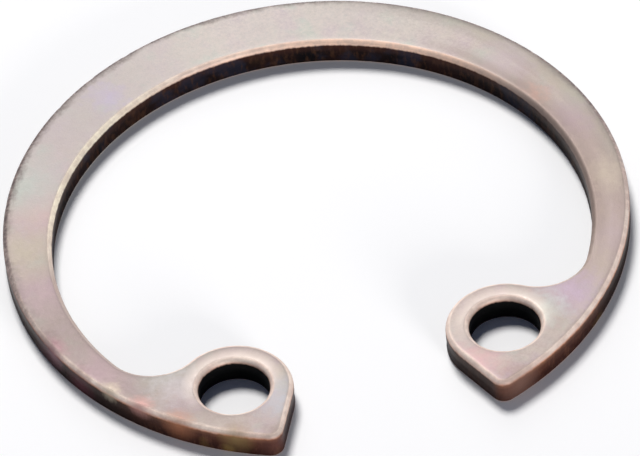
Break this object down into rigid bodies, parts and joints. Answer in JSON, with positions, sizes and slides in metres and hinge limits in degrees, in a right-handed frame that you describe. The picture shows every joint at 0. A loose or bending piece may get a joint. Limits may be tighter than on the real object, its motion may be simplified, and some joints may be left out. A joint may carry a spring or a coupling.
{
  "type": "internal retaining ring",
  "caption": "Internal circlip for a round bore: an open, eccentric flat spring-steel ring whose ends widen into rounded lugs, each with a round plier hole.",
  "frame": {"origin": "on the axis of the outer circle, in the plane of the underside", "axes": "+Z square to the flat ring, towards the side with the rolled edges; the gap between the lugs points to -Y"},
  "size_m": [0.0214, 0.0206, 0.001],
  "materials": {
    "spring_steel": "hardened spring steel, tumbled to a satin grey with a warm rose cast; walls left dark brown from heat treatment"
  },
  "bodies": {
    "root": {"circlip": "spring_steel"}
  },
  "joints": []
}
